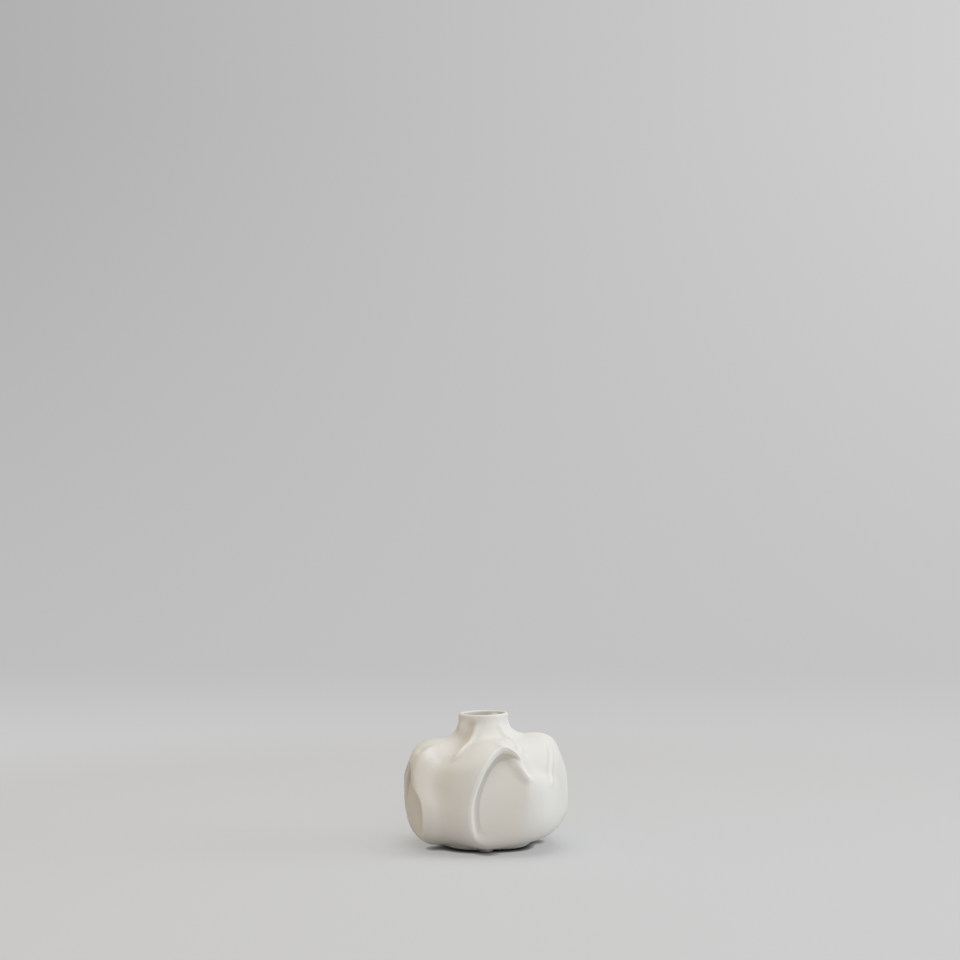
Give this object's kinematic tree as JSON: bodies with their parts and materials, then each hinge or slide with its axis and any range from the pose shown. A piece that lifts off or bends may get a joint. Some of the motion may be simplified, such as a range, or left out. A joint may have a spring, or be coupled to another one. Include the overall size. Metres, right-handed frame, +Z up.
{
  "type": "pillow vase",
  "caption": "Squat ceramic vase with a soft, pressed-in belly like a folded pillow, a short round neck with an open mouth, and small round pads under its base",
  "frame": {"origin": "centre of the bounding box in plan, at the underside of the pads, where the vase meets the table", "axes": "+Z points up along the neck, -Y points to the side that the picture shows, +X to that view's right"},
  "size_m": [0.199, 0.2026, 0.1618],
  "materials": {
    "matt_ceramic": "matt bone-white glaze over a slip-cast body, smooth, with no gloss",
    "pad": "soft, pale, matt stick-on pad"
  },
  "bodies": {
    "root": {"vase_body": "matt_ceramic", "foot_pad_front": "pad", "foot_pad_right": "pad", "foot_pad_back": "pad", "foot_pad_left": "pad"}
  },
  "joints": []
}
